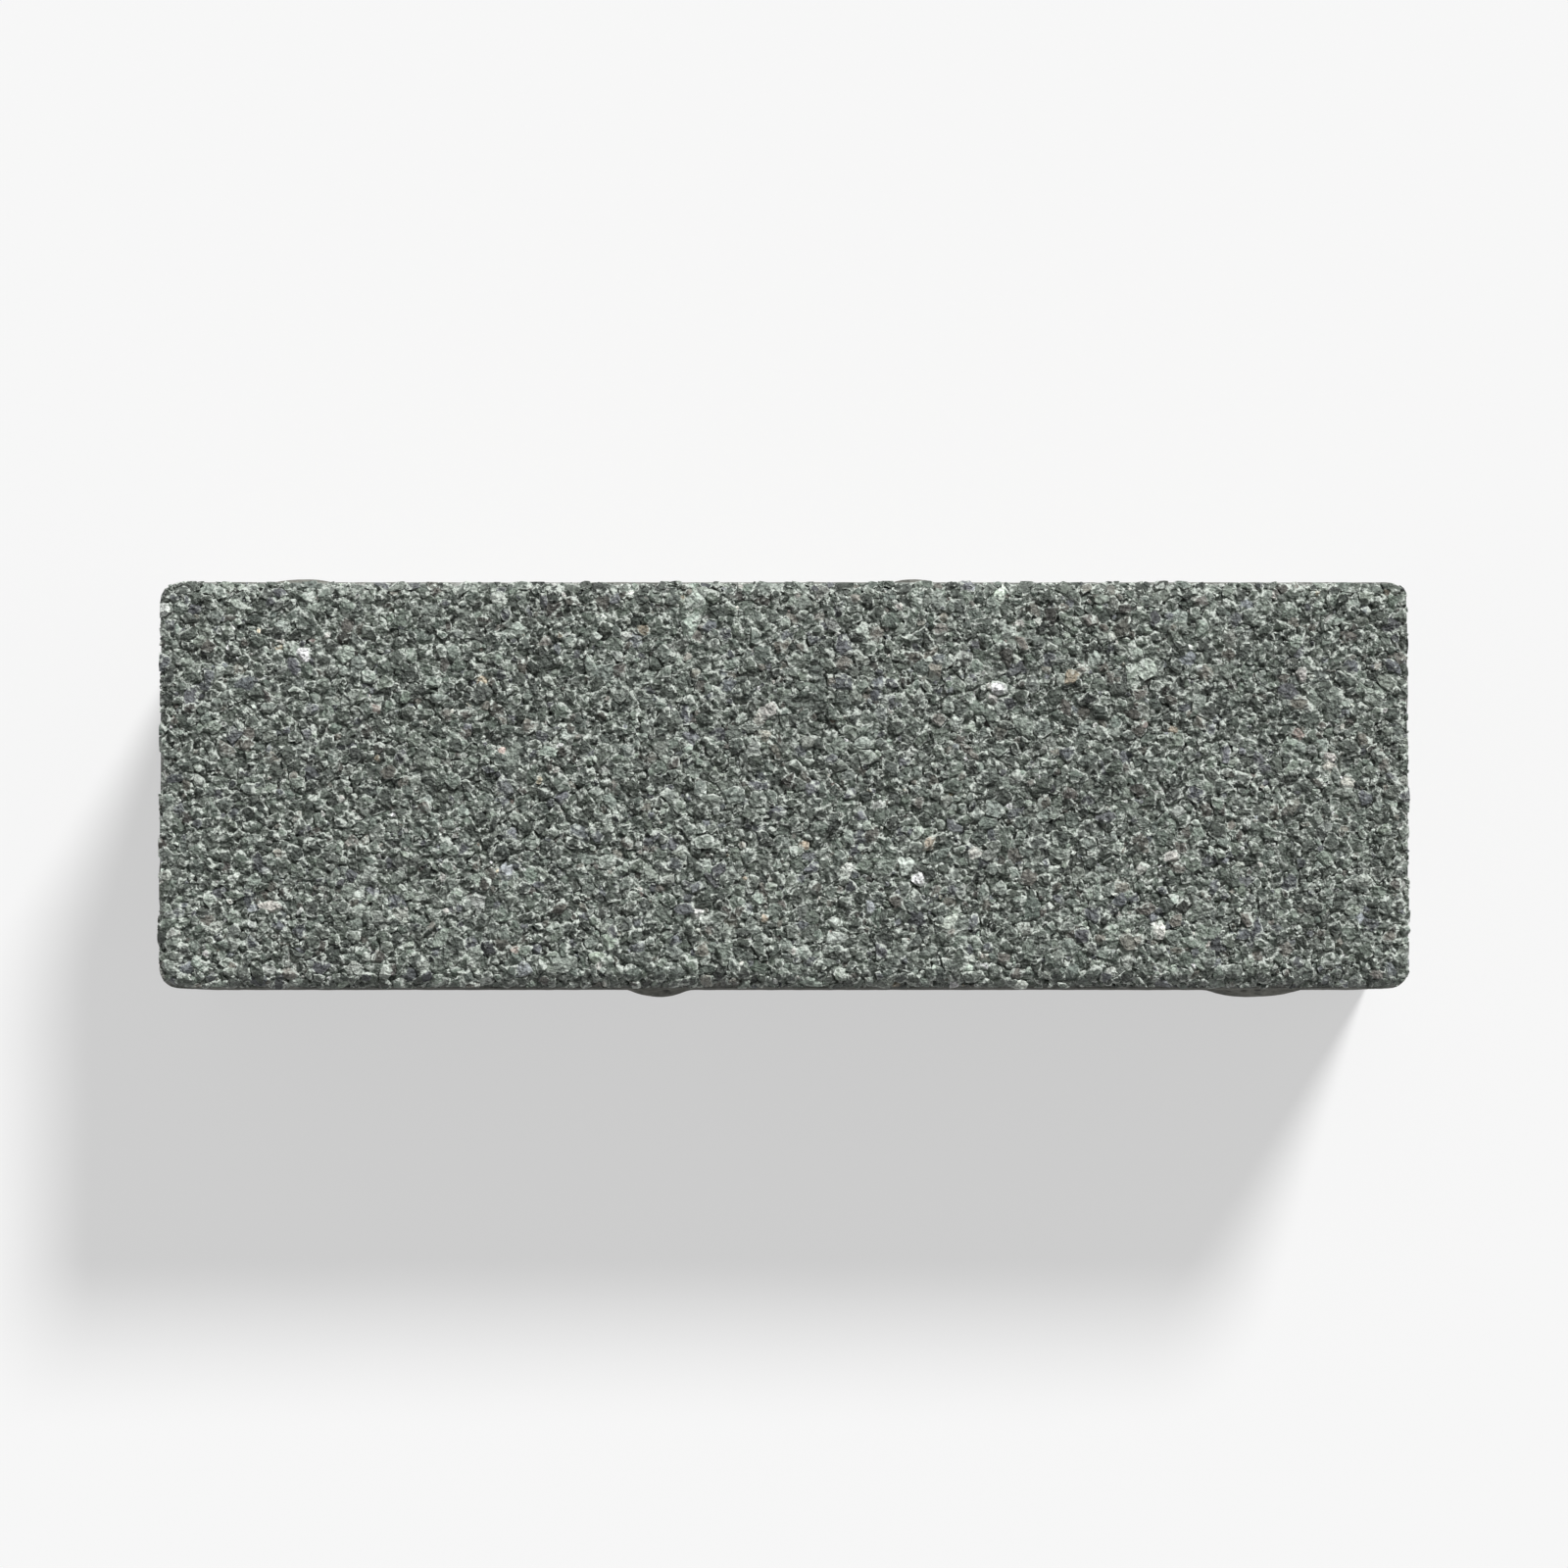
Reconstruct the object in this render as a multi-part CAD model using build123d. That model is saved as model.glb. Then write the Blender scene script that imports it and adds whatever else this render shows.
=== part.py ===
"""A concrete paving stone for a 300 x 100 laying grid, 80 thick, with spacer nibs cast on its four sides.

Millimetres, +Z up. The origin is at the middle of the bed face. The length lies along X.
The stone is one cast piece, so it is one solid.
"""

import os
from math import sqrt

from build123d import *

# Body, without its nibs
BODY_LENGTH = 297.0
BODY_WIDTH = 97.0
BODY_HEIGHT = 80.0
CORNER_RADIUS = 4.8
TOP_EDGE_RADIUS = 2.0

# Spacer nibs, low vertical ribs that keep the joint open
NIB_PROJECTION = 1.8
NIB_FOOT_RADIUS = 5.0  # of the hollow curve from the wall into the nib
NIB_DROP = 10.0  # from the top face down to where a nib begins
NIB_SLOPE_HEIGHT = 7.0  # over which its slanted top runs out to the full projection
NIB_ROOT = 1.5  # how far its block reaches into the body, to fuse with it

# Where the nibs are, from the middle of their side, and how wide they are at the wall.
# The opposite side has the same nibs turned half round, so that two stones never meet nib on nib.
MIDDLE_NIB_PLACE = -31.0
MIDDLE_NIB_WIDTH = 16.0
CORNER_NIB_PLACE = 115.5
CORNER_NIB_WIDTH = 20.0
END_NIB_PLACE = 23.3
END_NIB_WIDTH = 24.0


def body():
    """The block: a rounded rectangle drawn up to its height, with a blunted top edge."""
    plan = RectangleRounded(BODY_LENGTH, BODY_WIDTH, CORNER_RADIUS)
    block = extrude(plan, BODY_HEIGHT)
    top_edges = block.faces().sort_by(Axis.Z)[-1].edges()
    return fillet(top_edges, TOP_EDGE_RADIUS)


def nib_section(width):
    """A nib's plan, standing out along -Y from a wall on the X axis.

    A hollow arc leaves the wall, a full arc makes the crown, and a hollow arc comes back.
    All three are tangent, so the two radii add up to what the width and the projection allow.
    """
    half = width / 2
    both_radii = (half**2 + NIB_PROJECTION**2) / (2 * NIB_PROJECTION)
    crown_radius = both_radii - NIB_FOOT_RADIUS
    blend_x = half * crown_radius / both_radii
    blend_y = NIB_PROJECTION - crown_radius + sqrt(crown_radius**2 - blend_x**2)
    rise = TangentArc((-half, 0), (-blend_x, -blend_y), tangent=(1, 0))
    crown = TangentArc(rise @ 1, (blend_x, -blend_y), tangent=rise % 1)
    fall = TangentArc(crown @ 1, (half, 0), tangent=crown % 1)
    root = Polyline(fall @ 1, (half, NIB_ROOT), (-half, NIB_ROOT), rise @ 0)
    return make_face(Curve() + [rise, crown, fall, root])


def nib(width):
    """A nib on a wall on the X axis: its plan drawn up, under a top that slants away from the wall."""
    top = BODY_HEIGHT - NIB_DROP
    root_rise = NIB_ROOT * NIB_SLOPE_HEIGHT / NIB_PROJECTION
    rib = extrude(nib_section(width), top + root_rise)
    side_view = Plane.YZ * make_face(
        Polyline(
            (-NIB_PROJECTION, 0),
            (-NIB_PROJECTION, top - NIB_SLOPE_HEIGHT),
            (NIB_ROOT, top + root_rise),
            (NIB_ROOT, 0),
            close=True,
        )
    )
    return rib & extrude(side_view, width, both=True)


def nibs_of_one_half():
    """The nibs of one long side and one end, on the walls they stand out from."""
    on_side = Pos(Y=-BODY_WIDTH / 2)
    on_end = Pos(X=BODY_LENGTH / 2) * Rot(Z=90)
    return [
        on_side * Pos(X=MIDDLE_NIB_PLACE) * nib(MIDDLE_NIB_WIDTH),
        on_side * Pos(X=CORNER_NIB_PLACE) * nib(CORNER_NIB_WIDTH),
        on_end * Pos(X=END_NIB_PLACE) * nib(END_NIB_WIDTH),
    ]


def paving_stone():
    """The whole stone, its nibs fused to the body, the second half's turned half round."""
    half = nibs_of_one_half()
    other_half = [Rot(Z=180) * one for one in half]
    return body() + half + other_half


stone = paving_stone()
stone.label = "paving_stone"

os.makedirs("parts", exist_ok=True)
export_step(stone, "parts/paving_stone.step")
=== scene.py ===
import itertools
import math

import bmesh
import bpy
import numpy as np
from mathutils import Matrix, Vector, noise

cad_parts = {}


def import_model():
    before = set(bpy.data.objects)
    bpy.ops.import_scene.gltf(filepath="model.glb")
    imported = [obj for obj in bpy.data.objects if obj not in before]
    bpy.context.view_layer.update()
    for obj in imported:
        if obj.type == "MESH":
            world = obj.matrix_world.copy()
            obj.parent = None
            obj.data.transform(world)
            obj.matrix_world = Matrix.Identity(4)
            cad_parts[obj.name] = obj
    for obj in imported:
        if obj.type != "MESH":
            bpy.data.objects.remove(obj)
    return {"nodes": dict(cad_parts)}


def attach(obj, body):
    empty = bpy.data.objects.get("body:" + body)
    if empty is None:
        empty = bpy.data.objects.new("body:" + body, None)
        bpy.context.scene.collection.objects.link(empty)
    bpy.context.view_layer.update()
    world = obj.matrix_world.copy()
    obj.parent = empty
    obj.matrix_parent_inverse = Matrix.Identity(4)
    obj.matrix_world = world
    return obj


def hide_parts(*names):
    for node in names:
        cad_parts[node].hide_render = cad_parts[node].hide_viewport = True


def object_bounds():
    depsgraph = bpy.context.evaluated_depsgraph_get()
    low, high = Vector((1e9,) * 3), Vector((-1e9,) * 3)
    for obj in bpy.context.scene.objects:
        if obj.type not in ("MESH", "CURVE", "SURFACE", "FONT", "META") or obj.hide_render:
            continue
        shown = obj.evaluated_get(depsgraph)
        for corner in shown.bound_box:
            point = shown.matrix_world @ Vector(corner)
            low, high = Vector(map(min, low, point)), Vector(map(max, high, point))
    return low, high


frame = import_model()
cad_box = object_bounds()

MM = 0.001

# The stone, as it is in the frame
NIB_PROJECTION = 1.8 * MM
TOP = cad_box[1].z
HALF_LENGTH = cad_box[1].x - NIB_PROJECTION
HALF_WIDTH = cad_box[1].y - NIB_PROJECTION
CORNER_RADIUS = 4.8 * MM
TOP_EDGE_RADIUS = 2.0 * MM

# The body's mesh, and the relief that draws its walls in
BODY_MESH = 1.2 * MM
LEAST_DRAW_IN = 0.02 * MM
WALL_RELIEF = 0.16 * MM
WALL_RELIEF_LENGTH = 4 * MM
WALL_HOLLOW = 0.12 * MM
WALL_HOLLOW_LENGTH = 28 * MM
PORE_COUNT = 260
PORE_RADIUS = (1.0 * MM, 2.6 * MM)
PORE_DEPTH = (0.35 * MM, 1.1 * MM)
PORE_MARGIN = 6 * MM  # kept free of pores at the top and the bottom of the walls
BED_EDGE_WEAR = 0.5 * MM
BED_EDGE_HEIGHT = 2.0 * MM
BED_EDGE_LENGTH = 6 * MM  # from one worn place to the next

# The cement washed down between the grains
CEMENT_DEPTH = 2.0 * MM  # below the highest grains
CEMENT_SWELL = 0.6 * MM
CEMENT_SWELL_LENGTH = 2.6 * MM
WASH_REACH = 6.0 * MM  # down the walls from the top
WASH_DRAW_IN = 0.7 * MM  # of the walls at the top
SKIN_RISE = 1.1 * MM  # of the cement where it meets the wall's skin
SKIN_WAVE = 5 * MM  # along that skin's ragged upper edge

# The worn arris: how much lower the washed face gets at its edges, and over what stretch of its inset
ARRIS_DROP = 2.6 * MM
ARRIS_STRETCH = (-0.8 * MM, 3.8 * MM)
END_ARRIS_SHARE = 0.35

# Low swells of the washed face
FACE_SWELL = 0.6 * MM
FACE_SWELL_LENGTH = 7 * MM

# The grains of the washed face, with their radii and the depths of their crests in millimetres
COARSE = {"radius": (1.5, 2.6), "overlap": 0.66, "tries": 14000, "depth": (0.0, 1.3), "cuts": 12}
MEDIUM = {"radius": (0.85, 1.45), "overlap": 0.66, "tries": 40000, "depth": (0.3, 1.6), "cuts": 10}
FINE = {"radius": (0.5, 0.8), "overlap": 0.66, "tries": 60000, "depth": (0.7, 1.9), "cuts": 8}
SAND = {"radius": (0.3, 0.46), "overlap": 0.66, "tries": 60000, "depth": (1.1, 2.2), "cuts": 7}
GRAIN_MARGIN = 0.3  # from the outline to the middles of the outermost grains
EDGE_SLACK = (-0.5, 0.2)  # how far a grain at the edge may stand out from the outline
TUCK_DEPTH = 4.0 * MM  # below the top face, from where the edge grains draw back into the wall

# The shape of a chip of crushed rock
SHAPES_PER_CLASS = 40
CHIP_REACH = 1.55
CHIP_BULGE = 0.12
CHIP_FACET = (0.68, 1.0)  # how far its facets lie from its middle
CHIP_STRETCH = (1.22, 0.96, 0.70)
CHIP_LEAN = 0.5
CHIP_SPIN = 0.9  # away from the stone's length

# How light the grains are, and how much that differs from one to the next
GRAIN_LEVEL = 0.78
GRAIN_CONTRAST = 0.40
GRAIN_TINT = 0.012


def linear_level(level):
    """One channel of a colour as a screen shows it, 0 to 255, as linear light."""
    level /= 255
    if level <= 0.04045:
        return level / 12.92
    return ((level + 0.055) / 1.055) ** 2.4


def linear(*levels):
    """A colour as a screen shows it, as linear light."""
    return tuple(linear_level(level) for level in levels)


# Colours of the grains, and how often each comes in the coarse and in the fine ones
GRAIN_COLOURS = [
    (linear(103, 111, 103), 46, 26),
    (linear(126, 134, 126), 30, 30),
    (linear(116, 120, 122), 8, 8),
    (linear(120, 119, 112), 7, 6),
    (linear(156, 163, 155), 6, 18),
    (linear(194, 199, 192), 1.4, 10),
    (linear(222, 221, 213), 0.7, 2),
    (linear(188, 178, 158), 0.3, 0.4),
    (linear(182, 168, 160), 0.12, 0.2),
]
COARSE_MIX = 1
FINE_MIX = 2

# Linear colours of the cement: its film on the grains, and the darkest and palest of the other two
FILM_COLOUR = (0.68, 0.73, 0.67, 1)
WASHED_COLOURS = ((0.25, 0.26, 0.24, 1), (0.62, 0.63, 0.60, 1))
WALL_COLOURS = ((0.132, 0.133, 0.115, 1), (0.180, 0.180, 0.158, 1))

# How large the patterns on the grains are
PATCH_SIZE = 45 * MM
FACET_SIZE = 1.3 * MM
CRYSTAL_SIZE = 0.9 * MM
CRYSTAL_GRAIN_SIZE = 0.16 * MM

# How large the patterns on the walls are
CLOUD_SIZE = 30 * MM
OPEN_PATCH_SIZE = 24 * MM
LARGE_PIT_SIZE = 4.2 * MM
STONE_SIZE = 2.6 * MM
STREAK_SIZE = 1.6 * MM
SMALL_PIT_SIZE = 1.5 * MM
GRIT_SIZE = 0.9 * MM
SAND_SIZE = 0.8 * MM
CEMENT_PATTERN_SIZE = 0.6 * MM
CEMENT_GRAIN_SIZE = 0.25 * MM

# How deep the bumps look
FACET_BUMP = 2.2 * MM
CRYSTAL_BUMP = 0.05 * MM
PIT_BUMP = 0.5 * MM
GRIT_BUMP = (0.35 * MM, 0.9 * MM)  # on closed walls and where the concrete is open
CEMENT_GRAIN_BUMP = 0.06 * MM

# Light, floor and camera
SUN_LEVEL = 3.95
SUN_SPREAD = math.radians(13)
TOWARDS_SUN = (0.42, 0.90, 0.80)
WORLD_LEVEL = 0.205
WHITE = 0.96
FLOOR_REACH = 6.0
FLOOR_COLOUR = (0.9, 0.9, 0.9, 1)
FLOOR_LIFT = 0.56
SHARE_OF_FRAME = 0.80  # that the stone's length takes
CAMERA_HEIGHT = 1200 * MM
CAMERA_OFFSET = 6 * MM  # beyond the near long side
SENSOR_WIDTH = 36


def add_object(name, data):
    made = bpy.data.objects.new(name, data)
    bpy.context.scene.collection.objects.link(made)
    return made


# Shape helpers

def past_inner(points):
    """How far each point lies past the rectangle of the corners' centres, seen from above."""
    inner = np.array([HALF_LENGTH - CORNER_RADIUS, HALF_WIDTH - CORNER_RADIUS])
    return np.abs(points[:, :2]) - inner


def fitted(points, room):
    """Points drawn back into the stone's rounded outline, which room makes wider or narrower."""
    out = points.copy()
    inner = np.array([HALF_LENGTH - CORNER_RADIUS, HALF_WIDTH - CORNER_RADIUS])
    past = np.maximum(past_inner(points), 0)
    reach = np.linalg.norm(past, axis=1)
    near = np.minimum(np.abs(points[:, :2]), inner)
    above = np.maximum(points[:, 2] - (TOP - TOP_EDGE_RADIUS), 0)
    blunt = TOP_EDGE_RADIUS - np.sqrt(np.maximum(TOP_EDGE_RADIUS**2 - above**2, 0))
    limit = np.maximum(CORNER_RADIUS + room - blunt, 0)
    share = np.where(reach > limit, limit / np.maximum(reach, 1e-9), 1)
    out[:, :2] = np.sign(points[:, :2]) * (near + past * share[:, None])
    out[:, 2] = np.minimum(points[:, 2], TOP)
    return out


def inset(points):
    """How far each point lies inside the stone's outline, seen from above."""
    past = past_inner(points)
    corner = np.linalg.norm(np.maximum(past, 0), axis=1)
    return CORNER_RADIUS - corner - np.minimum(past.max(axis=1), 0)


def flattened(points):
    return points * [1, 1, 0]


def waves(points, size, octaves, seed):
    """Smooth noise about 0, of that wavelength."""
    shift = Vector((seed * 17.3, seed * 5.1, seed * 9.7))
    return np.array([
        noise.fractal(Vector(p) / size + shift, 1.0, 2.0, octaves) for p in points
    ])


def smooth(share):
    """A share from 0 to 1, eased at both ends."""
    return share**2 * (3 - 2 * share)


def arris_share(distance):
    """How far down the worn arris a point at that distance from the edge lies, from 0 to 1."""
    low, high = ARRIS_STRETCH
    return 1 - smooth(np.clip((distance - low) / (high - low), 0, 1))


def face_drop(points):
    """How much lower than the highest grains the washed face lies at each point: worn arris and swells."""
    sides = arris_share(HALF_WIDTH - np.abs(points[:, 1]))
    ends = END_ARRIS_SHARE * arris_share(inset(points))
    swells = np.clip(0.5 + waves(flattened(points), FACE_SWELL_LENGTH, 2, 4), 0, 1)
    return ARRIS_DROP * np.maximum(sides, ends) + FACE_SWELL * swells


def set_point_values(mesh, name, values):
    kind = "FLOAT" if values.ndim == 1 else "FLOAT_COLOR"
    attribute = mesh.attributes.new(name, kind, "POINT")
    field = "value" if kind == "FLOAT" else "color"
    attribute.data.foreach_set(field, values.astype(np.float32).ravel())


def points_of(mesh):
    flat = np.empty(len(mesh.vertices) * 3, np.float32)
    mesh.vertices.foreach_get("co", flat)
    return flat.reshape(-1, 3).astype(float)


def normals_of(mesh):
    flat = np.empty(len(mesh.vertices) * 3, np.float32)
    mesh.vertex_normals.foreach_get("vector", flat)
    return flat.reshape(-1, 3).astype(float)


# The body

def even_mesh_of_frame():
    """The frame's own solid as one closed mesh of even small faces."""
    source = frame["nodes"]["paving_stone"].data.copy()
    joined = bmesh.new()
    joined.from_mesh(source)
    bmesh.ops.remove_doubles(joined, verts=joined.verts, dist=0.001 * MM)
    joined.to_mesh(source)
    joined.free()
    draft = add_object("draft", source)
    remesh = draft.modifiers.new("even", "REMESH")
    remesh.mode = "VOXEL"
    remesh.voxel_size = BODY_MESH
    graph = bpy.context.evaluated_depsgraph_get()
    even = bpy.data.meshes.new_from_object(draft.evaluated_get(graph))
    bpy.data.objects.remove(draft)
    return even


def pores(points, on_wall, rng):
    """How deep each point lies in a pore of the cast walls, and its share of that pore's depth."""
    depth, share = np.zeros(len(points)), np.zeros(len(points))
    centres = points[rng.choice(np.flatnonzero(on_wall), PORE_COUNT)]
    radii = PORE_RADIUS[0] + (PORE_RADIUS[1] - PORE_RADIUS[0]) * rng.random(PORE_COUNT) ** 2.5
    deep = rng.uniform(*PORE_DEPTH, PORE_COUNT)
    for centre, radius, most in zip(centres, radii, deep):
        bowl = np.clip(1 - (np.linalg.norm(points - centre, axis=1) / radius) ** 2, 0, 1)
        depth = np.maximum(depth, most * bowl)
        share = np.maximum(share, bowl)
    return depth, share


def wall_draw_in(points, pitted):
    """How far the cast walls lie inside the solid: their relief, their pores and the worn bed edge."""
    inwards = WALL_RELIEF * (0.6 + 0.5 * waves(points, WALL_RELIEF_LENGTH, 4, 1))
    inwards += WALL_HOLLOW * np.clip(waves(points, WALL_HOLLOW_LENGTH, 2, 2), 0, 1)
    inwards = np.clip(inwards, LEAST_DRAW_IN, None) + pitted
    at_edge = inset(points) < 2 * BODY_MESH
    low = np.clip(1 - points[:, 2] / BED_EDGE_HEIGHT, 0, 1) ** 2 * at_edge
    return inwards + BED_EDGE_WEAR * low * np.clip(0.6 + waves(points, BED_EDGE_LENGTH, 3, 6), 0, 1)


def cement_drop(points):
    """How far the washed cement lies below the top face, less where the wall's skin holds it up."""
    ragged = np.clip(0.75 + 1.1 * waves(flattened(points), SKIN_WAVE, 3, 7), 0, 1.4)
    skin = SKIN_RISE * ragged * arris_share(inset(points))
    swells = CEMENT_SWELL * waves(flattened(points), CEMENT_SWELL_LENGTH, 3, 3)
    return CEMENT_DEPTH + swells + face_drop(points) - skin


def stone_body(material):
    """The cast body with its nibs: slightly uneven, porous walls, and cement washed down on top."""
    rng = np.random.default_rng(11)
    mesh = even_mesh_of_frame()
    points, normals = points_of(mesh), normals_of(mesh)
    washed = smooth(np.clip(1 - (TOP - points[:, 2]) / WASH_REACH, 0, 1))
    porous = (points[:, 2] > PORE_MARGIN) & (points[:, 2] < TOP - PORE_MARGIN)
    pitted, pit_share = pores(points, porous, rng)
    inwards = np.maximum(wall_draw_in(points, pitted), WASH_DRAW_IN * washed)
    sunk = washed * cement_drop(points)
    points -= normals * inwards[:, None]
    points[:, 2] -= sunk
    mesh.vertices.foreach_set("co", points.astype(np.float32).ravel())
    set_point_values(mesh, "washed", washed)
    set_point_values(mesh, "pore", pit_share)
    mesh.polygons.foreach_set("use_smooth", np.ones(len(mesh.polygons), bool))
    mesh.materials.clear()
    mesh.materials.append(material)
    mesh.update()
    return add_object("stone_body", mesh)


# Grains

def spread_directions(count, jitter, rng):
    """Directions all round, evenly spread but for a jitter."""
    steps = np.arange(count) + 0.5
    height = 1 - 2 * steps / count
    turn = math.pi * (1 + 5**0.5) * steps
    flat = np.sqrt(1 - height**2)
    out = np.stack([flat * np.cos(turn), flat * np.sin(turn), height], axis=1)
    out += rng.normal(0, jitter, out.shape)
    return out / np.linalg.norm(out, axis=1)[:, None]


def cut_corners(planes, away):
    """The corners of the solid that a set of planes leaves around the middle."""
    corners = []
    for trio in itertools.combinations(range(len(planes)), 3):
        three = planes[list(trio)]
        if abs(np.linalg.det(three)) > 0.02:
            corner = np.linalg.solve(three, away[list(trio)])
            if np.all(planes @ corner <= away + 1e-7):
                corners.append(corner)
    return np.array(corners)


def broken_shape(cuts, rng):
    """A chip of crushed rock about one unit in radius: what a set of random planes leaves.

    Each facet is a fan round its own middle, which stands out a little.
    Returns the points, the triangles, and how near each point is to a facet's rim.
    """
    reach = math.inf
    while reach > CHIP_REACH:
        planes = spread_directions(cuts, 0.22, rng)
        away = rng.uniform(*CHIP_FACET, cuts)
        corners = cut_corners(planes, away)
        reach = np.linalg.norm(corners, axis=1).max()
    middles, triangles = [], []
    for plane, distance in zip(planes, away):
        on = np.flatnonzero(np.abs(corners @ plane - distance) < 1e-6)
        if len(on) < 3:
            continue
        middle = corners[on].mean(axis=0)
        across = corners[on[0]] - middle
        spokes = corners[on] - middle
        turn = np.arctan2(spokes @ np.cross(plane, across), spokes @ across)
        ring = on[np.argsort(turn)]
        hub = len(corners) + len(middles)
        triangles += [(hub, one, two) for one, two in zip(ring, np.roll(ring, -1))]
        middles.append(middle + plane * rng.uniform(0.0, CHIP_BULGE))
    points = np.concatenate([corners, middles])
    rim = np.repeat([1.0, 0.0], [len(corners), len(middles)])
    return points, np.array(triangles), rim


class Packing:
    """Round footprints on the top face, in millimetres, that overlap no more than they may."""

    CELL = 1.0

    def __init__(self):
        self.cells = {}

    def near(self, x, y, reach):
        span = int(math.ceil(reach / self.CELL))
        column, row = int(x // self.CELL), int(y // self.CELL)
        for i in range(column - span, column + span + 1):
            for j in range(row - span, row + span + 1):
                yield from self.cells.get((i, j), ())

    def free(self, x, y, radius, largest, overlap):
        for other_x, other_y, other in self.near(x, y, (radius + largest) * overlap):
            clear = (radius + other) * overlap
            if (x - other_x) ** 2 + (y - other_y) ** 2 < clear * clear:
                return False
        return True

    def add(self, x, y, radius):
        cell = (int(x // self.CELL), int(y // self.CELL))
        self.cells.setdefault(cell, []).append((x, y, radius))


def scatter(packing, sizes, largest, rng):
    """Places of one size class of grains, as rows of x, y and radius in millimetres."""
    half_x, half_y = HALF_LENGTH / MM - GRAIN_MARGIN, HALF_WIDTH / MM - GRAIN_MARGIN
    low, high = sizes["radius"]
    xs = rng.uniform(-half_x, half_x, sizes["tries"])
    ys = rng.uniform(-half_y, half_y, sizes["tries"])
    radii = low + (high - low) * rng.random(sizes["tries"]) ** 1.6
    placed = []
    for x, y, radius in zip(xs.tolist(), ys.tolist(), radii.tolist()):
        if packing.free(x, y, radius, largest, sizes["overlap"]):
            packing.add(x, y, radius)
            placed.append((x, y, radius))
    return np.array(placed)


def turns(count, rng):
    """Rotations of chips, which lie mostly along the stone and lean a little."""
    tilt = rng.normal(0, CHIP_LEAN, count)
    about = rng.uniform(0, 2 * math.pi, count)
    spin = rng.normal(0, CHIP_SPIN, count)
    kx, ky = np.cos(about), np.sin(about)
    c, s = np.cos(tilt), np.sin(tilt)
    zero = np.zeros(count)
    lay = np.stack([
        np.stack([c + kx * kx * (1 - c), kx * ky * (1 - c), ky * s], axis=1),
        np.stack([kx * ky * (1 - c), c + ky * ky * (1 - c), -kx * s], axis=1),
        np.stack([-ky * s, kx * s, c], axis=1),
    ], axis=1)
    round_up = np.stack([
        np.stack([np.cos(spin), -np.sin(spin), zero], axis=1),
        np.stack([np.sin(spin), np.cos(spin), zero], axis=1),
        np.stack([zero, zero, zero + 1], axis=1),
    ], axis=1)
    return lay @ round_up


def grain_colours(count, mix, rng):
    weights = np.array([row[mix] for row in GRAIN_COLOURS], float)
    palette = np.array([row[0] for row in GRAIN_COLOURS])
    picked = palette[rng.choice(len(palette), count, p=weights / weights.sum())]
    shade = GRAIN_LEVEL * np.exp(rng.normal(0, GRAIN_CONTRAST, (count, 1)))
    tint = 1 + rng.normal(0, GRAIN_TINT, (count, 3))
    return np.clip(picked * shade * tint, 0.01, 0.85)


def laid_chips(shape, places, depth, rng):
    """Chips of one shape at their places: their points, and how far each is below its chip's crest."""
    count = len(places)
    stretch = np.array(CHIP_STRETCH) * rng.uniform(0.85, 1.15, (count, 3))
    chips = shape[None] * stretch[:, None] * places[:, None, 2:3] * MM
    chips = chips @ turns(count, rng).transpose(0, 2, 1)
    crest = TOP - rng.uniform(*depth, count) * MM
    chips[..., :2] += places[:, None, :2] * MM
    chips[..., 2] += (crest - chips[..., 2].max(axis=1))[:, None]
    below = (crest[:, None] - chips[..., 2]) / (places[:, 2:3] * MM)
    points = chips.reshape(-1, 3)
    points[:, 2] -= face_drop(points)
    slack = np.repeat(rng.uniform(*EDGE_SLACK, count), len(shape)) * MM
    slack -= np.clip(TOP - TUCK_DEPTH - points[:, 2], 0, None)
    return fitted(points, slack), below.ravel()


def grains(name, places, sizes, mix, material, seed):
    """One joined mesh of chips, one for each place, with their crests near the top face."""
    rng = np.random.default_rng(seed)
    shapes = [broken_shape(sizes["cuts"], rng) for _ in range(SHAPES_PER_CLASS)]
    which = rng.integers(0, len(shapes), len(places))
    colours = grain_colours(len(places), mix, rng)
    batches = []
    first = 0
    for k, (shape, triangles, rim) in enumerate(shapes):
        mine = places[which == k]
        if len(mine) == 0:
            continue
        points, below = laid_chips(shape, mine, sizes["depth"], rng)
        starts = first + len(shape) * np.arange(len(mine))
        chips = (triangles[None] + starts[:, None, None]).reshape(-1, 3)
        shown = np.repeat(colours[which == k], len(shape), axis=0)
        batches.append((points, chips, shown, below, np.tile(rim, len(mine))))
        first += len(points)
    points, triangles, shown, below, rims = [np.concatenate(batch) for batch in zip(*batches)]
    mesh = bpy.data.meshes.new(name)
    mesh.from_pydata(points.tolist(), [], triangles.tolist())
    set_point_values(mesh, "grain_colour", np.column_stack([shown, np.ones(len(points))]))
    set_point_values(mesh, "below_crest", below)
    set_point_values(mesh, "rim", rims)
    mesh.materials.append(material)
    return add_object(name, mesh)


# Materials

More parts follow.
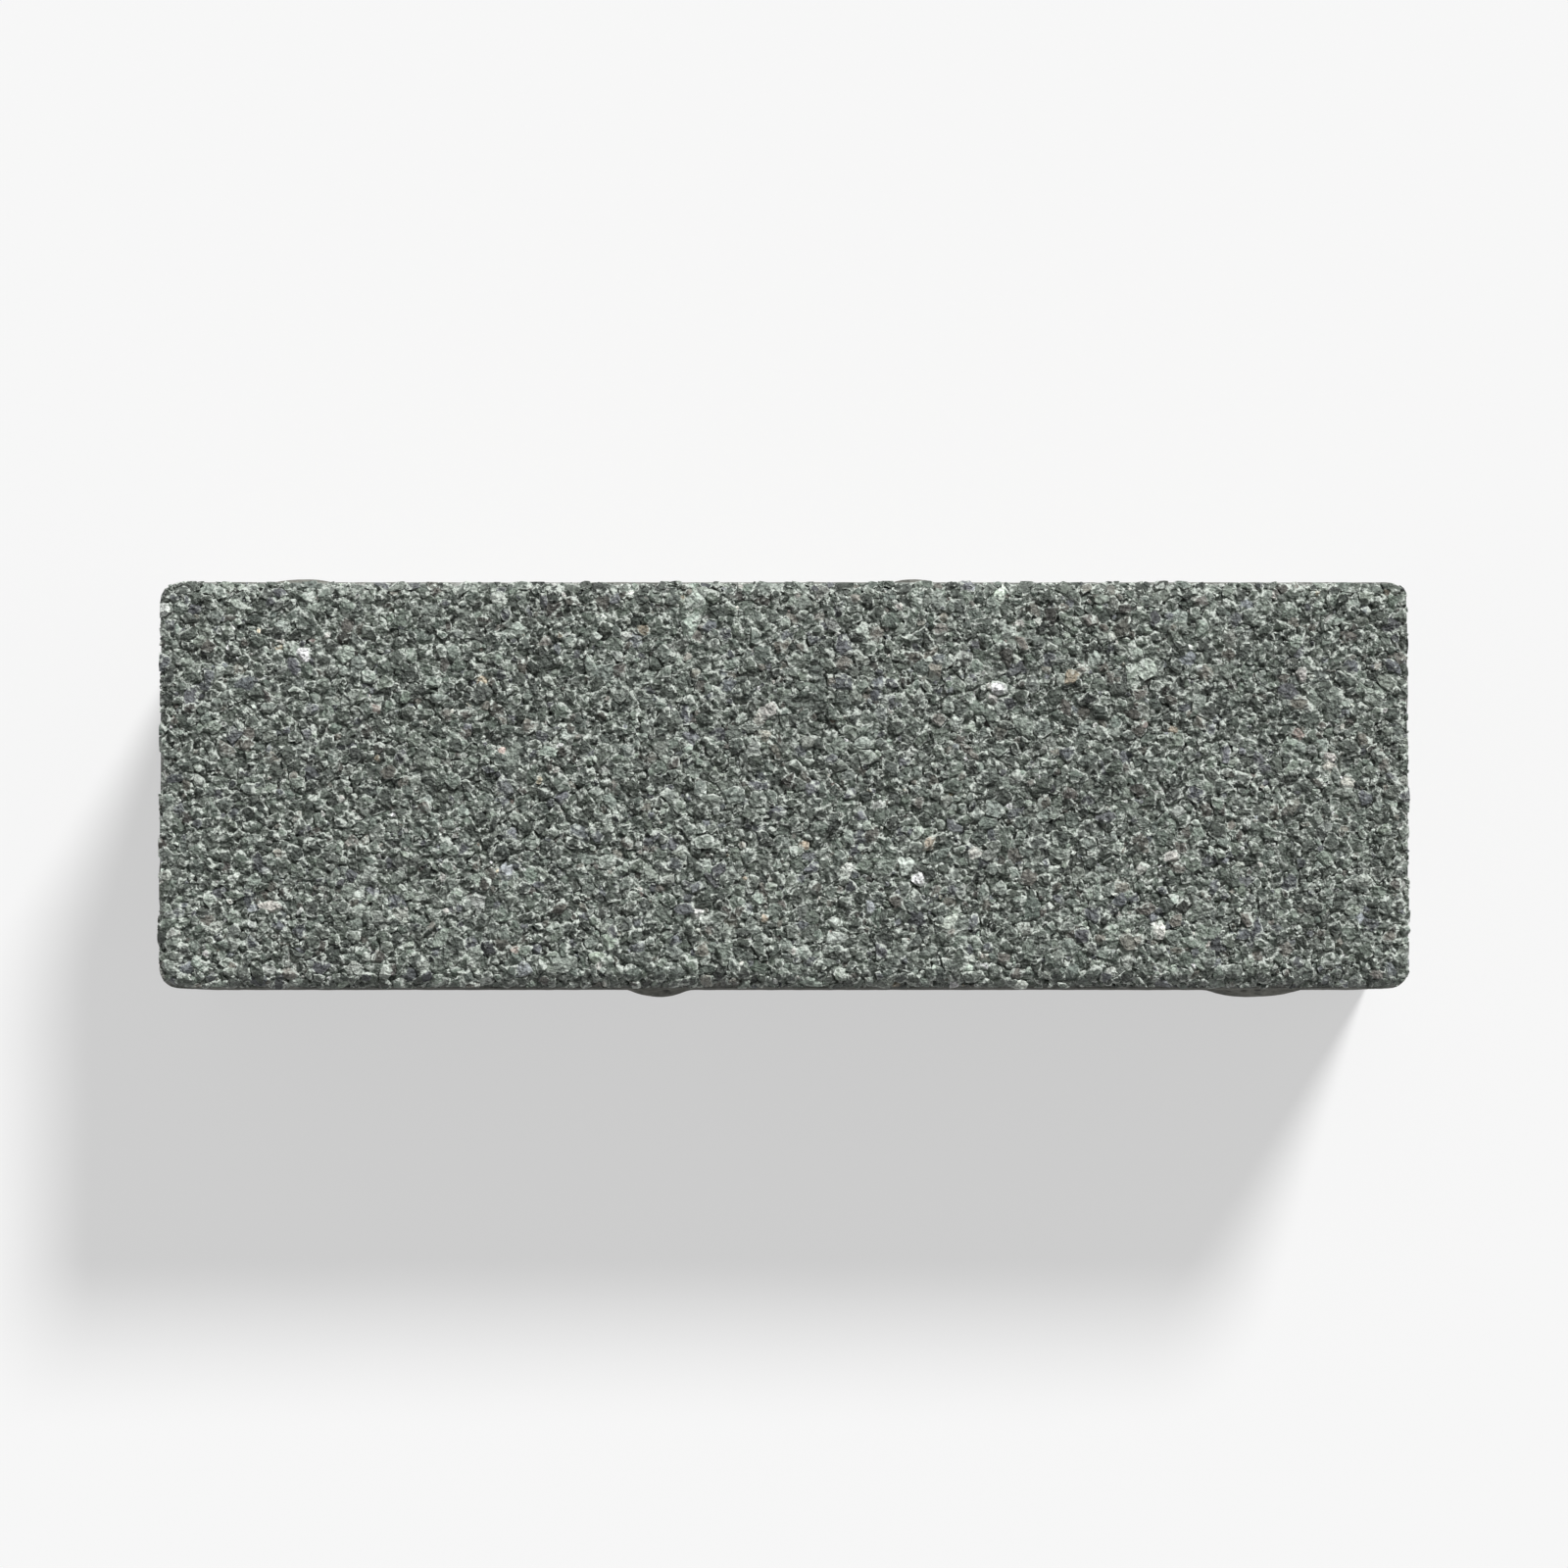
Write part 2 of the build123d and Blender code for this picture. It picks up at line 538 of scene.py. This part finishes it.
class Shader:
    """A material's nodes, with short ways to add and join them."""

    def __init__(self, name):
        self.material = bpy.data.materials.new(name)
        self.material.use_nodes = True
        self.tree = self.material.node_tree
        self.surface = self.tree.nodes["Principled BSDF"]
        self.where = self.tree.nodes.new("ShaderNodeTexCoord").outputs["Object"]

    def add(self, kind, inputs=None, **settings):
        node = self.tree.nodes.new(kind)
        for name, value in settings.items():
            setattr(node, name, value)
        for name, value in (inputs or {}).items():
            self.join(value, node.inputs[name])
        return node

    def join(self, value, socket):
        if isinstance(value, bpy.types.NodeSocket):
            self.tree.links.new(value, socket)
        else:
            socket.default_value = value

    def attribute(self, name, output="Fac"):
        """What the mesh has under that name."""
        return self.add("ShaderNodeAttribute", attribute_name=name).outputs[output]

    def noise(self, size, detail=3.0, rough=0.55, where=None):
        """Noise from 0 to 1 with features of about that size, in metres."""
        made = self.add("ShaderNodeTexNoise", {
            "Vector": where or self.where, "Scale": 1 / size, "Detail": detail, "Roughness": rough,
        })
        return made.outputs["Fac"]

    def vector(self, how, *values):
        made = self.add("ShaderNodeVectorMath", dict(enumerate(values)), operation=how)
        return made.outputs[0]

    def cells(self, size, warp=0.5):
        """Ragged cells of that size: how far from the middle, in sizes, and a random value for each."""
        swirl = self.add("ShaderNodeTexNoise", {"Vector": self.where, "Scale": 1.6 / size, "Detail": 3})
        around = self.vector("SUBTRACT", swirl.outputs["Color"], (0.5, 0.5, 0.5))
        moved = self.vector("MULTIPLY_ADD", around, (warp * size,) * 3, self.where)
        made = self.add("ShaderNodeTexVoronoi", {"Vector": moved, "Scale": 1 / size})
        value = self.add("ShaderNodeSeparateColor", {"Color": made.outputs["Color"]}).outputs["Red"]
        return made.outputs["Distance"], value

    def pits(self, size, from_value, largest):
        """1 inside the pits that some of the cells have, 0 outside."""
        distance, value = self.cells(size)
        radius = self.ranged(value, from_value, 1, 0, largest)
        there = self.maths("GREATER_THAN", value, from_value)
        past = self.maths("SUBTRACT", distance, radius)
        return self.maths("MULTIPLY", there, self.ranged(past, -0.07, 0.01, 1, 0))

    def ranged(self, value, low, high, to_low, to_high):
        made = self.add("ShaderNodeMapRange", {
            "Value": value, "From Min": low, "From Max": high, "To Min": to_low, "To Max": to_high,
        })
        return made.outputs["Result"]

    def mixed(self, factor, a, b, how="MIX"):
        made = self.add("ShaderNodeMix", data_type="RGBA", blend_type=how)
        self.join(factor, made.inputs[0])
        self.join(a, made.inputs[6])
        self.join(b, made.inputs[7])
        return made.outputs[2]

    def scaled(self, colour, value):
        """A colour made lighter or darker by a value."""
        grey = self.add("ShaderNodeCombineColor", {"Red": value, "Green": value, "Blue": value})
        return self.mixed(1.0, colour, grey.outputs[0], "MULTIPLY")

    def maths(self, how, a, b):
        made = self.add("ShaderNodeMath", operation=how)
        self.join(a, made.inputs[0])
        self.join(b, made.inputs[1])
        return made.outputs[0]

    def bumped(self, height, distance, under=None):
        made = self.add("ShaderNodeBump", {"Height": height, "Distance": distance})
        if under is not None:
            self.join(under, made.inputs["Normal"])
        return made.outputs["Normal"]


def cement_film(s):
    """How much of the cement's film is left on a chip: more down its flanks and along its edges."""
    flanks = s.ranged(s.attribute("below_crest"), 0.05, 0.45, -0.10, 0.12)
    edges = s.ranged(s.attribute("rim"), 0.1, 1.0, -0.06, 0.07)
    coat = s.maths("ADD", s.maths("ADD", flanks, edges), s.noise(FACET_SIZE, 4, 0.55))
    return s.ranged(coat, 0.54, 0.69, 0.0, 0.95)


def grain_material():
    """Crushed dark rock: each chip its own colour, with fine crystals and a trace of cement."""
    s = Shader("crushed_rock")
    speckle = s.ranged(s.noise(CRYSTAL_SIZE, 3, 0.5), 0.35, 0.68, 0.55, 1.7)
    patches = s.ranged(s.noise(PATCH_SIZE, 2), 0.35, 0.65, 0.9, 1.1)
    toned = s.scaled(s.attribute("grain_colour", "Color"), s.maths("MULTIPLY", speckle, patches))
    s.join(s.mixed(cement_film(s), toned, FILM_COLOUR), s.surface.inputs["Base Color"])
    s.join(s.ranged(s.noise(CRYSTAL_SIZE), 0.35, 0.65, 0.32, 0.6), s.surface.inputs["Roughness"])
    facets = s.bumped(s.noise(FACET_SIZE, 4, 0.5), FACET_BUMP)
    crystals = s.bumped(s.noise(CRYSTAL_GRAIN_SIZE, 3), CRYSTAL_BUMP, facets)
    s.join(crystals, s.surface.inputs["Normal"])
    return s.material


def wall_colour(s, open_patch, pit):
    """Cast walls: olive grey cement with sand in it, streaked upright by the mould, with painted shade
    that darkens the pits.
    """
    clouds = s.ranged(s.noise(CLOUD_SIZE, 5, 0.55), 0.3, 0.7, 0, 1)
    plain = s.mixed(clouds, *WALL_COLOURS)
    upright = s.vector("MULTIPLY", s.where, (1, 1, 0.03))
    streaks = s.ranged(s.noise(STREAK_SIZE, 3, 0.6, upright), 0.3, 0.7, 0.88, 1.12)
    sand = s.ranged(s.cells(SAND_SIZE, 1.2)[1], 0, 1, 0.75, 1.30)
    stone = s.ranged(s.cells(STONE_SIZE, 1.2)[1], 0, 1, 0.88, 1.12)
    shade = s.maths("MULTIPLY", streaks, s.maths("MULTIPLY", sand, stone))
    shade = s.maths("MULTIPLY", shade, s.ranged(open_patch, 0, 1, 1.05, 0.92))
    # Painted shade: the pits and pores are darkened down to 0.4 of the wall's colour, standing in for the
    # shade in these hollows.
    return s.scaled(plain, s.maths("MULTIPLY", shade, s.ranged(pit, 0, 1, 1, 0.4)))


def wall_pits(s, open_patch):
    """1 in the pits and pores of the walls, 0 outside, with faint small pits where the wall is closed; it
    drives their bump and the painted shade in them.
    """
    small = s.maths("MULTIPLY", s.pits(SMALL_PIT_SIZE, 0.3, 0.42), s.ranged(open_patch, 0, 1, 0.5, 1))
    pits = s.maths("MAXIMUM", small, s.pits(LARGE_PIT_SIZE, 0.5, 0.28))
    return s.maths("MAXIMUM", pits, s.ranged(s.attribute("pore"), 0.15, 0.8, 0, 0.9))


def body_material():
    """Cast concrete: sandy, porous walls, and pale cement where the face is washed."""
    s = Shader("cast_concrete")
    washed = s.attribute("washed")
    open_patch = s.ranged(s.noise(OPEN_PATCH_SIZE, 3), 0.42, 0.60, 0, 1)
    pit = wall_pits(s, open_patch)
    pale = s.ranged(s.noise(CEMENT_PATTERN_SIZE, 4), 0.3, 0.7, 0, 1)
    cement = s.mixed(pale, *WASHED_COLOURS)
    s.join(s.mixed(washed, wall_colour(s, open_patch, pit), cement), s.surface.inputs["Base Color"])
    s.surface.inputs["Roughness"].default_value = 0.85
    s.surface.inputs["Specular IOR Level"].default_value = 0.3
    hollow = s.bumped(s.ranged(pit, 0, 1, 1, 0), PIT_BUMP)
    rough = s.maths("MAXIMUM", washed, s.maths("MULTIPLY", open_patch, 0.6))
    grit = s.bumped(s.noise(GRIT_SIZE, 5, 0.65), s.ranged(rough, 0, 1, *GRIT_BUMP), hollow)
    fine = s.bumped(s.noise(CEMENT_GRAIN_SIZE, 3), CEMENT_GRAIN_BUMP, grit)
    s.join(fine, s.surface.inputs["Normal"])
    return s.material


# The set

def is_seen(s):
    """1 for what the camera sees, straight, in a reflection or through glass."""
    path = s.add("ShaderNodeLightPath")
    seen = s.maths("MAXIMUM", path.outputs["Is Camera Ray"], path.outputs["Is Glossy Ray"])
    return s.maths("MAXIMUM", seen, path.outputs["Is Transmission Ray"])


def floor():
    """A pale floor that keeps the stone's shadow, lightened where it is seen."""
    reach = FLOOR_REACH
    corners = [(-reach, -reach, 0), (reach, -reach, 0), (reach, reach, 0), (-reach, reach, 0)]
    mesh = bpy.data.meshes.new("floor")
    mesh.from_pydata(corners, [], [(0, 1, 2, 3)])
    s = Shader("pale_floor")
    s.surface.inputs["Base Color"].default_value = FLOOR_COLOUR
    s.surface.inputs["Roughness"].default_value = 1
    s.surface.inputs["Specular IOR Level"].default_value = 0
    glow = s.add("ShaderNodeEmission", {"Color": (WHITE, WHITE, WHITE, 1), "Strength": 1})
    mix = s.add("ShaderNodeMixShader", {0: s.maths("MULTIPLY", is_seen(s), FLOOR_LIFT)})
    s.join(s.surface.outputs[0], mix.inputs[1])
    s.join(glow.outputs[0], mix.inputs[2])
    s.join(mix.outputs[0], s.tree.nodes["Material Output"].inputs["Surface"])
    mesh.materials.append(s.material)
    made = add_object("floor", mesh)


def world():
    """Even light from all round, white where it is seen."""
    made = bpy.data.worlds.new("studio")
    bpy.context.scene.world = made
    made.use_nodes = True
    tree = made.node_tree
    back = tree.nodes["Background"]
    back.inputs["Color"].default_value = (1, 1, 1, 1)
    path = tree.nodes.new("ShaderNodeLightPath")
    strength = tree.nodes.new("ShaderNodeMapRange")
    seen = tree.nodes.new("ShaderNodeMath")
    seen.operation = "MAXIMUM"
    tree.links.new(path.outputs["Is Camera Ray"], seen.inputs[0])
    tree.links.new(path.outputs["Is Transmission Ray"], seen.inputs[1])
    tree.links.new(seen.outputs[0], strength.inputs["Value"])
    strength.inputs["To Min"].default_value = WORLD_LEVEL
    strength.inputs["To Max"].default_value = WHITE
    tree.links.new(strength.outputs[0], back.inputs["Strength"])


def key_light():
    """A broad lamp up and to the right, so that the shadow falls down and to the left."""
    lamp = bpy.data.lights.new("key", "SUN")
    lamp.energy = SUN_LEVEL
    lamp.angle = SUN_SPREAD
    made = add_object("key", lamp)
    made.rotation_euler = Vector(TOWARDS_SUN).to_track_quat("Z", "Y").to_euler()


def camera():
    """Straight above, just off the stone's near long side, as in the photograph."""
    made = add_object("camera", bpy.data.cameras.new("camera"))
    seen_width = 2 * HALF_LENGTH / SHARE_OF_FRAME
    made.data.sensor_width = SENSOR_WIDTH
    made.data.lens = SENSOR_WIDTH * CAMERA_HEIGHT / seen_width
    made.location = (0, -HALF_WIDTH - CAMERA_OFFSET, TOP + CAMERA_HEIGHT)
    aim = Vector((0, 0, TOP)) - made.location
    made.rotation_euler = aim.to_track_quat("-Z", "Y").to_euler()
    bpy.context.scene.camera = made


def build():
    rock, concrete = grain_material(), body_material()
    body = stone_body(concrete)
    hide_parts("paving_stone")
    rng = np.random.default_rng(5)
    packing = Packing()
    largest = COARSE["radius"][1]
    pieces = [body]
    classes = [
        ("coarse", COARSE, COARSE_MIX),
        ("medium", MEDIUM, COARSE_MIX),
        ("fine", FINE, FINE_MIX),
        ("sand", SAND, FINE_MIX),
    ]
    for number, (name, sizes, mix) in enumerate(classes):
        places = scatter(packing, sizes, largest, rng)
        pieces.append(grains("grains_" + name, places, sizes, mix, rock, 100 + number))
    for piece in pieces:
        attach(piece, "root")


build()
floor()
world()
key_light()
camera()
bpy.context.scene.view_settings.view_transform = "Standard"
